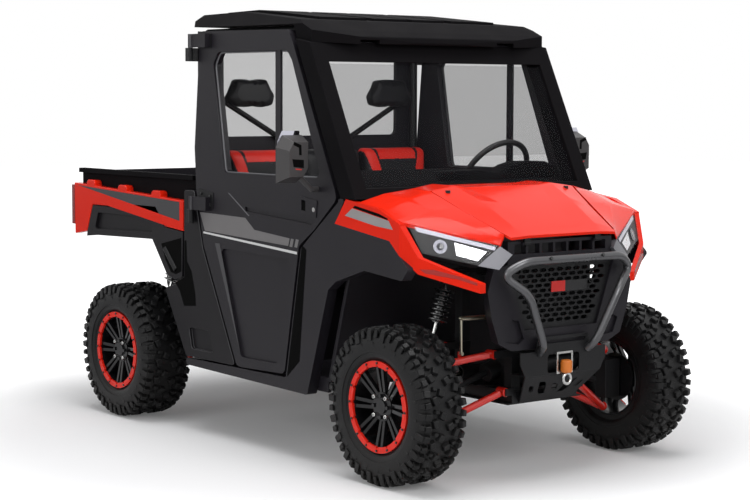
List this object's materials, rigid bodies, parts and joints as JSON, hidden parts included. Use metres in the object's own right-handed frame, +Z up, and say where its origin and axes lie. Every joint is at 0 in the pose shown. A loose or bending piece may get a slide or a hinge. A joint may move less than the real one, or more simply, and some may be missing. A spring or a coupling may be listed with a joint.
{
  "type": "side by side utility vehicle",
  "caption": "Side by side utility vehicle with a full glazed cab, rear-hinged doors, tilting hood, tipping cargo bed with drop tailgate, steered front wheels and a winch bumper.",
  "frame": {"origin": "on the ground under the middle of the bounding box", "axes": "+X forward, +Y to the vehicle's left, +Z up"},
  "size_m": [3.159, 1.86, 2.0579],
  "materials": {
    "tyre": "moulded rubber",
    "red": "gloss",
    "black": "textured",
    "rim": "satin black",
    "frame": "satin black",
    "steel": "satin",
    "glass": "smoked",
    "seat": "vinyl",
    "lamp": "clear lens",
    "tail": "red lens",
    "bar": "satin grey"
  },
  "bodies": {
    "chassis": {"bull_plate": "bar", "bumper_bar": "bar", "cage": "frame", "cheeks": "black", "cowl": "red", "dashboard": "black", "floor_pan": "black", "frame": "frame", "front_fenders": "red", "glazing": "glass", "headlamps": "lamp", "headrests": "seat", "hinge_brackets": "frame", "hitch": "frame", "mesh_grille": "black", "muffler": "frame", "powertrain": "frame", "rear_knuckles": "frame", "rear_quarters": "black", "rear_wall": "black", "roof": "black", "seats": "seat", "shocks": "frame", "side_panels": "black", "skid_plate": "frame", "slot_grille": "black", "stabiliser": "steel", "steering_rack": "frame", "suspension_arms": "red", "winch": "steel", "windscreen_frame": "black"},
    "door_right": {"door_panel_right": "black", "door_glass_right": "glass", "mirror_right": "black"},
    "door_left": {"door_panel_left": "black", "door_glass_left": "glass", "mirror_left": "black"},
    "hood": {"hood": "red"},
    "bed": {"bed_tub": "black", "bed_sides": "red", "bed_flares": "black", "tail_lamps": "tail"},
    "tailgate": {"tailgate": "black"},
    "knuckle_right": {"knuckle_right": "frame"},
    "knuckle_left": {"knuckle_left": "frame"},
    "tie_rod_right": {"tie_rod_right": "steel"},
    "tie_rod_left": {"tie_rod_left": "steel"},
    "steering_wheel": {"steering_wheel": "black"},
    "wheel_front_right": {"tyre_front_right": "tyre", "rim_front_right": "rim", "bead_ring_front_right": "red"},
    "wheel_front_left": {"tyre_front_left": "tyre", "rim_front_left": "rim", "bead_ring_front_left": "red"},
    "wheel_rear_right": {"tyre_rear_right": "tyre", "rim_rear_right": "rim", "bead_ring_rear_right": "red"},
    "wheel_rear_left": {"tyre_rear_left": "tyre", "rim_rear_left": "rim", "bead_ring_rear_left": "red"}
  },
  "joints": [
    {"name": "wheel_front_right_spin", "type": "hinge", "parent": "knuckle_right", "child": "wheel_front_right", "pos_m": [1.18, -0.685, 0.343], "axis": [0, 1, 0], "continuous": true},
    {"name": "wheel_front_left_spin", "type": "hinge", "parent": "knuckle_left", "child": "wheel_front_left", "pos_m": [1.18, 0.685, 0.343], "axis": [0, 1, 0], "continuous": true},
    {"name": "wheel_rear_right_spin", "type": "hinge", "parent": "chassis", "child": "wheel_rear_right", "pos_m": [-0.99, -0.668, 0.343], "axis": [0, 1, 0], "continuous": true},
    {"name": "wheel_rear_left_spin", "type": "hinge", "parent": "chassis", "child": "wheel_rear_left", "pos_m": [-0.99, 0.668, 0.343], "axis": [0, 1, 0], "continuous": true},
    {"name": "steer_right", "type": "hinge", "parent": "chassis", "child": "knuckle_right", "pos_m": [1.18, -0.56, 0.343], "axis": [0, 0, 1], "range_deg": [-28, 28]},
    {"name": "steer_left", "type": "hinge", "parent": "chassis", "child": "knuckle_left", "pos_m": [1.18, 0.56, 0.343], "axis": [0, 0, 1], "range_deg": [-28, 28]},
    {"name": "tie_rod_right_pivot", "type": "hinge", "parent": "knuckle_right", "child": "tie_rod_right", "pos_m": [1.085, -0.56, 0.4293], "axis": [0, 0, 1], "range_deg": [-28, 28]},
    {"name": "tie_rod_left_pivot", "type": "hinge", "parent": "knuckle_left", "child": "tie_rod_left", "pos_m": [1.085, 0.56, 0.4293], "axis": [0, 0, 1], "range_deg": [-28, 28]},
    {"name": "steering_wheel_turn", "type": "hinge", "parent": "chassis", "child": "steering_wheel", "pos_m": [0.53009, 0.45, 1.26998], "axis": [-0.848, 0, 0.5299], "range_deg": [-252, 252]},
    {"name": "door_right_hinge", "type": "hinge", "parent": "chassis", "child": "door_right", "pos_m": [-0.329, -0.748, 1.2], "axis": [0, 0, -1], "range_deg": [0, 75]},
    {"name": "door_left_hinge", "type": "hinge", "parent": "chassis", "child": "door_left", "pos_m": [-0.329, 0.748, 1.2], "axis": [0, 0, 1], "range_deg": [0, 75]},
    {"name": "hood_hinge", "type": "hinge", "parent": "chassis", "child": "hood", "pos_m": [1.4751, 0, 1.02997], "axis": [0, 1, 0], "range_deg": [0, 60]},
    {"name": "bed_tilt", "type": "hinge", "parent": "chassis", "child": "bed", "pos_m": [-1.4, 0, 0.85001], "axis": [0, -1, 0], "range_deg": [0, 42]},
    {"name": "tailgate_hinge", "type": "hinge", "parent": "bed", "child": "tailgate", "pos_m": [-1.538, 0, 0.93802], "axis": [0, -1, 0], "range_deg": [0, 90]}
  ],
  "couplings": [
    {"joint": "steer_left", "follows": "steer_right", "ratio": 1},
    {"joint": "steering_wheel_turn", "follows": "steer_right", "ratio": 9},
    {"joint": "tie_rod_right_pivot", "follows": "steer_right", "ratio": -1},
    {"joint": "tie_rod_left_pivot", "follows": "steer_right", "ratio": -1}
  ]
}
